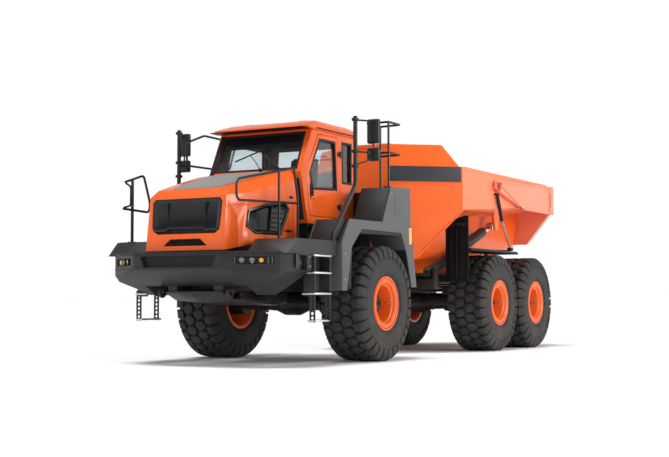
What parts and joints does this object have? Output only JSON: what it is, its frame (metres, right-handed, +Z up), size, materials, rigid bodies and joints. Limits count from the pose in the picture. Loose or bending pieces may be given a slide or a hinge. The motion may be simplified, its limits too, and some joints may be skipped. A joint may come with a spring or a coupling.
{
  "type": "articulated dump truck",
  "caption": "Full-size articulated dump truck: front unit with cab and hood, pivoting rear unit on a walking-beam bogie, tipping load body with tailgate.",
  "frame": {"origin": "centre of the overall box, on the ground under the truck", "axes": "+Z up, the truck faces -Y, its left side is +X"},
  "size_m": [3.9, 11.42, 3.9471],
  "materials": {
    "body_paint": "satin",
    "fender_plastic": "satin",
    "chassis_paint": "satin",
    "dark_trim": "matte",
    "tyre_rubber": "matte",
    "cylinder_rod": "polished",
    "window": "clear"
  },
  "bodies": {
    "front_unit": {"front_frame": "chassis_paint", "front_axle": "chassis_paint", "front_bumper": "fender_plastic", "engine_block": "chassis_paint", "cab_base": "dark_trim", "service_tower": "dark_trim", "cab_shell": "body_paint", "cab_roof": "body_paint", "quarter_glass": "window", "right_glass": "window", "rear_glass": "window", "windshield": "window", "cab_interior": "dark_trim", "fender_left": "fender_plastic", "fender_right": "fender_plastic", "ladder_left": "chassis_paint", "ladder_right": "chassis_paint", "mirror_post_left": "chassis_paint", "mirror_post_right": "chassis_paint", "front_rail_left": "chassis_paint", "front_rail_right": "chassis_paint", "rear_rail_left": "chassis_paint", "rear_rail_right": "chassis_paint"},
    "hood": {"hood": "body_paint", "grille": "dark_trim"},
    "cab_door": {"cab_door": "body_paint", "door_glass": "window"},
    "rear_unit": {"rear_frame": "chassis_paint", "bogie_beams": "chassis_paint", "mid_axle": "chassis_paint", "rear_axle": "chassis_paint", "mudguard_left": "dark_trim", "mudguard_right": "dark_trim"},
    "dump_body": {"dump_body": "body_paint"},
    "tailgate": {"tailgate": "body_paint"},
    "wheel_front_left": {"rim_front_left": "body_paint", "tyre_front_left": "tyre_rubber"},
    "wheel_front_right": {"rim_front_right": "body_paint", "tyre_front_right": "tyre_rubber"},
    "wheel_mid_left": {"rim_mid_left": "body_paint", "tyre_mid_left": "tyre_rubber"},
    "wheel_mid_right": {"rim_mid_right": "body_paint", "tyre_mid_right": "tyre_rubber"},
    "wheel_rear_left": {"rim_rear_left": "body_paint", "tyre_rear_left": "tyre_rubber"},
    "wheel_rear_right": {"rim_rear_right": "body_paint", "tyre_rear_right": "tyre_rubber"},
    "tip_barrel_left": {"tip_barrel_left": "chassis_paint"},
    "tip_rod_left": {"tip_rod_left": "cylinder_rod"},
    "tip_barrel_right": {"tip_barrel_right": "chassis_paint"},
    "tip_rod_right": {"tip_rod_right": "cylinder_rod"},
    "steer_barrel_left": {"steer_barrel_left": "chassis_paint"},
    "steer_rod_left": {"steer_rod_left": "cylinder_rod"},
    "steer_barrel_right": {"steer_barrel_right": "chassis_paint"},
    "steer_rod_right": {"steer_rod_right": "cylinder_rod"}
  },
  "joints": [
    {"name": "wheel_front_left_spin", "type": "hinge", "parent": "front_unit", "child": "wheel_front_left", "pos_m": [1.405, -2.44, 0.93], "axis": [1, 0, 0], "continuous": true},
    {"name": "wheel_front_right_spin", "type": "hinge", "parent": "front_unit", "child": "wheel_front_right", "pos_m": [-1.405, -2.44, 0.93], "axis": [1, 0, 0], "continuous": true},
    {"name": "wheel_mid_left_spin", "type": "hinge", "parent": "rear_unit", "child": "wheel_mid_left", "pos_m": [1.405, 2.42, 0.93], "axis": [1, 0, 0], "continuous": true},
    {"name": "wheel_mid_right_spin", "type": "hinge", "parent": "rear_unit", "child": "wheel_mid_right", "pos_m": [-1.405, 2.42, 0.93], "axis": [1, 0, 0], "continuous": true},
    {"name": "wheel_rear_left_spin", "type": "hinge", "parent": "rear_unit", "child": "wheel_rear_left", "pos_m": [1.405, 4.4, 0.93], "axis": [1, 0, 0], "continuous": true},
    {"name": "wheel_rear_right_spin", "type": "hinge", "parent": "rear_unit", "child": "wheel_rear_right", "pos_m": [-1.405, 4.4, 0.93], "axis": [1, 0, 0], "continuous": true},
    {"name": "articulation", "type": "hinge", "parent": "front_unit", "child": "rear_unit", "pos_m": [0, -0.92, 1.04], "axis": [0, 0, 1], "range_deg": [-45, 45]},
    {"name": "body_tip", "type": "hinge", "parent": "rear_unit", "child": "dump_body", "pos_m": [0, 4.71, 1.45], "axis": [-1, 0, 0], "range_deg": [0, 70]},
    {"name": "tailgate_swing", "type": "hinge", "parent": "dump_body", "child": "tailgate", "pos_m": [0, 2.56, 3.24], "axis": [1, 0, 0], "range_deg": [0, 35]},
    {"name": "hood_tilt", "type": "hinge", "parent": "front_unit", "child": "hood", "pos_m": [0, -5.54, 1.705], "axis": [1, 0, 0], "range_deg": [0, 60]},
    {"name": "door_swing", "type": "hinge", "parent": "front_unit", "child": "cab_door", "pos_m": [0.892, -2.41, 2.33], "axis": [0, 0, 1], "range_deg": [0, 70]},
    {"name": "tip_barrel_left_swing", "type": "hinge", "parent": "rear_unit", "child": "tip_barrel_left", "pos_m": [1.085, 0.61, 1.5], "axis": [1, 0, 0], "range_deg": [-6, 6]},
    {"name": "tip_rod_left_slide", "type": "slide", "parent": "tip_barrel_left", "child": "tip_rod_left", "axis": [0, 0.9471, 0.321], "range_m": [0, 1.7849]},
    {"name": "tip_barrel_right_swing", "type": "hinge", "parent": "rear_unit", "child": "tip_barrel_right", "pos_m": [-1.085, 0.61, 1.5], "axis": [1, 0, 0], "range_deg": [-6, 6]},
    {"name": "tip_rod_right_slide", "type": "slide", "parent": "tip_barrel_right", "child": "tip_rod_right", "axis": [0, 0.9471, 0.321], "range_m": [0, 1.7849]},
    {"name": "steer_barrel_left_swing", "type": "hinge", "parent": "front_unit", "child": "steer_barrel_left", "pos_m": [0.58, -1.78, 0.93], "axis": [0, 0, 1], "range_deg": [-30, 30]},
    {"name": "steer_rod_left_slide", "type": "slide", "parent": "steer_barrel_left", "child": "steer_rod_left", "axis": [-0.0767, 0.9971, 0], "range_m": [-0.3963, 0.3963]},
    {"name": "steer_barrel_right_swing", "type": "hinge", "parent": "front_unit", "child": "steer_barrel_right", "pos_m": [-0.58, -1.78, 0.93], "axis": [0, 0, 1], "range_deg": [-30, 30]},
    {"name": "steer_rod_right_slide", "type": "slide", "parent": "steer_barrel_right", "child": "steer_rod_right", "axis": [0.0767, 0.9971, 0], "range_m": [-0.3963, 0.3963]}
  ],
  "couplings": [
    {"joint": "tailgate_swing", "follows": "body_tip", "ratio": 0.5},
    {"joint": "tip_barrel_left_swing", "follows": "body_tip", "ratio": -0.03187},
    {"joint": "tip_rod_left_slide", "follows": "body_tip", "m_per_rad": 1.4569},
    {"joint": "tip_barrel_right_swing", "follows": "body_tip", "ratio": -0.03187},
    {"joint": "tip_rod_right_slide", "follows": "body_tip", "m_per_rad": 1.4569},
    {"joint": "steer_barrel_left_swing", "follows": "articulation", "ratio": 0.4131},
    {"joint": "steer_rod_left_slide", "follows": "articulation", "m_per_rad": 0.49819},
    {"joint": "steer_barrel_right_swing", "follows": "articulation", "ratio": 0.4131},
    {"joint": "steer_rod_right_slide", "follows": "articulation", "m_per_rad": -0.49819}
  ]
}
